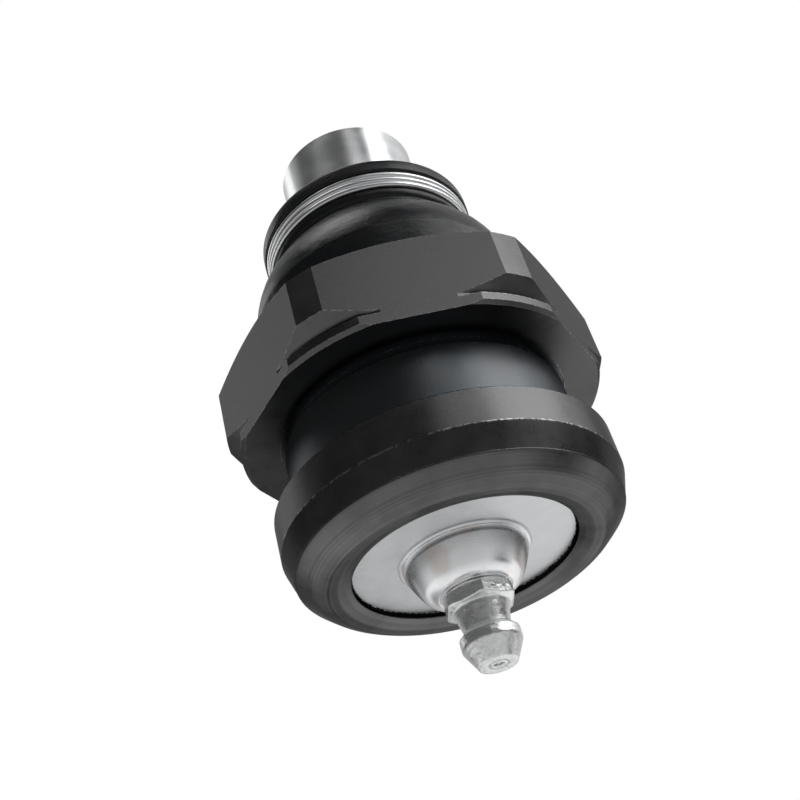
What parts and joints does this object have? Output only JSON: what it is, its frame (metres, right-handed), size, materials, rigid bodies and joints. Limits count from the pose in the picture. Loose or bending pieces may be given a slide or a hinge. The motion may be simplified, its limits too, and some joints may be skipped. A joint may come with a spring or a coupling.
{
  "type": "suspension ball joint",
  "caption": "Black steel ball joint with a hexagonal flange, rubber boot, smooth stud, grey end cover and a grease nipple, for a suspension arm.",
  "frame": {"origin": "on the joint's axis inside the end collar, 2.4 mm below the collar's upper edge and 10.9 mm below the ball's centre", "axes": "+Z along the axis towards the free end of the stud, with the cover and nipple towards -Z; the hexagon's flats face -Y and +Y and its corners -X and +X"},
  "size_m": [0.0444, 0.04, 0.0719],
  "materials": {
    "black_steel": "semi-gloss black oxide",
    "bearing_plastic": "matt moulded",
    "spring_steel": "plain hardened",
    "zinc_plate": "satin zinc plating",
    "nipple_zinc": "bright zinc plating",
    "ring_wire": "bright drawn wire",
    "boot_rubber": "satin moulded rubber",
    "bright_steel": "finely turned"
  },
  "bodies": {
    "housing": {"housing": "black_steel", "bearing_race": "bearing_plastic", "preload_spring": "spring_steel", "cover_plate": "zinc_plate", "grease_nipple": "nipple_zinc", "nipple_spring": "spring_steel", "lower_boot_ring": "ring_wire"},
    "swing_base": {"pressure_cup": "bearing_plastic", "boot": "boot_rubber"},
    "boot_ring": {"upper_boot_ring": "ring_wire"},
    "stud": {"ball_stud": "bright_steel"},
    "nipple_check": {"nipple_ball": "bright_steel"}
  },
  "joints": [
    {"name": "swing_heading", "type": "hinge", "parent": "housing", "child": "swing_base", "pos_m": [0, 0, 0.0109], "axis": [0, 0, 1], "continuous": true},
    {"name": "stud_swing", "type": "hinge", "parent": "swing_base", "child": "boot_ring", "pos_m": [0, 0, 0.0109], "axis": [1, 0, 0], "range_deg": [-20, 20], "deforming": ["boot"]},
    {"name": "stud_turn", "type": "hinge", "parent": "boot_ring", "child": "stud", "pos_m": [0, 0, 0.0109], "axis": [0, 0, 1], "continuous": true},
    {"name": "nipple_valve", "type": "slide", "parent": "housing", "child": "nipple_check", "axis": [0, 0, 1], "range_m": [0, 0.0008], "stiffness_N_per_m": 200, "springref_m": -0.0006, "deforming": ["nipple_spring"]}
  ]
}
